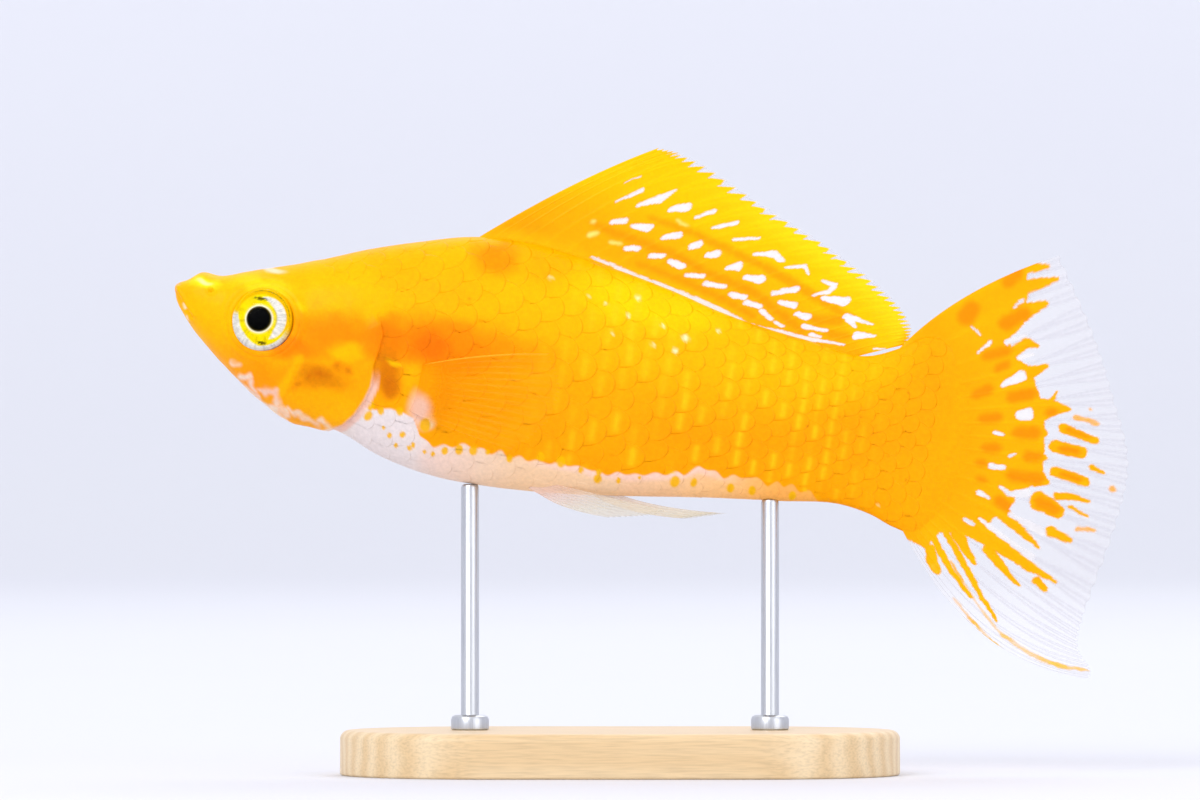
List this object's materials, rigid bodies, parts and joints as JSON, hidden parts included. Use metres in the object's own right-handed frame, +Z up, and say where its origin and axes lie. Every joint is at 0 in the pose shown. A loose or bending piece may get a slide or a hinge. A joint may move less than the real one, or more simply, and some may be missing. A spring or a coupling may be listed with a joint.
{
  "type": "sailfin molly display model",
  "caption": "Life-size gold sailfin molly with a raised sail-like dorsal fin and a fanned tail, held over a flat round-ended base by slim rods.",
  "frame": {"origin": "centre of the stand's underside, on the floor", "axes": "+X from the fish's head towards its tail, along the stand; -Y out of the fish's left side; +Z up"},
  "size_m": [0.0953, 0.03, 0.0627],
  "materials": {
    "skin": "moist scaled skin, gold to orange, with a pinkish white belly",
    "gold_fin": "thin rayed membrane, gold with clear windows",
    "clear_fin": "thin rayed membrane, pale and nearly clear",
    "eye": "glossy, silver and yellow iris round a black pupil",
    "base": "fine-grained pale maple, satin oiled",
    "rod": "brushed along its length"
  },
  "bodies": {
    "root": {"head": "skin", "lower_jaw": "skin", "gill_cover_left": "skin", "gill_cover_right": "skin", "trunk": "skin", "tail_stalk": "skin", "dorsal_fin": "gold_fin", "caudal_fin": "gold_fin", "pectoral_fin_left": "gold_fin", "pectoral_fin_right": "gold_fin", "pelvic_fin_left": "clear_fin", "pelvic_fin_right": "clear_fin", "anal_fin": "clear_fin", "eye_left": "eye", "eye_right": "eye", "stand_base": "base", "stand_rod_front": "rod", "stand_rod_rear": "rod"}
  },
  "joints": []
}
